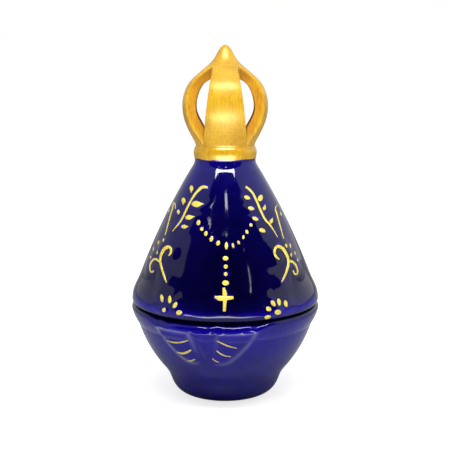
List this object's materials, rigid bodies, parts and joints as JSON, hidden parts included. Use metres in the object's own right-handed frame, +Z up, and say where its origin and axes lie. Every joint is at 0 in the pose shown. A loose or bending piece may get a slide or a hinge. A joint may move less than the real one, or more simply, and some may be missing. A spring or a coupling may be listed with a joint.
{
  "type": "lidded tagine pot",
  "caption": "Small glazed ceramic pot in tagine form: a footed bowl with relief wings, and a conical lid that lifts off and turns, with an openwork gilded crown for its grip.",
  "frame": {"origin": "centre of the foot's underside, on the surface that the pot stands on", "axes": "+Z up along the pot's axis; -Y is the lid's painted front; +X is to the right of a viewer who faces that front"},
  "size_m": [0.101, 0.101, 0.1863],
  "materials": {
    "cobalt_glaze": "gloss",
    "gold_lustre": "satin, brushed on"
  },
  "bodies": {
    "bowl": {"bowl_shell": "cobalt_glaze", "foot_ring": "cobalt_glaze", "relief_wing_left": "cobalt_glaze", "relief_wing_right": "cobalt_glaze"},
    "lid_seat": {"lid_flange": "cobalt_glaze"},
    "lid": {"lid_cone": "cobalt_glaze", "crown_collar": "gold_lustre", "crown_arch_front": "gold_lustre", "crown_arch_right": "gold_lustre", "crown_arch_back": "gold_lustre", "crown_arch_left": "gold_lustre", "crown_tip": "gold_lustre"}
  },
  "joints": [
    {"name": "lid_lift", "type": "slide", "parent": "bowl", "child": "lid_seat", "axis": [0, 0, 1], "range_m": [0, 0.12]},
    {"name": "lid_turn", "type": "hinge", "parent": "lid_seat", "child": "lid", "pos_m": [0, 0, 0.0498], "axis": [0, 0, 1], "continuous": true}
  ]
}
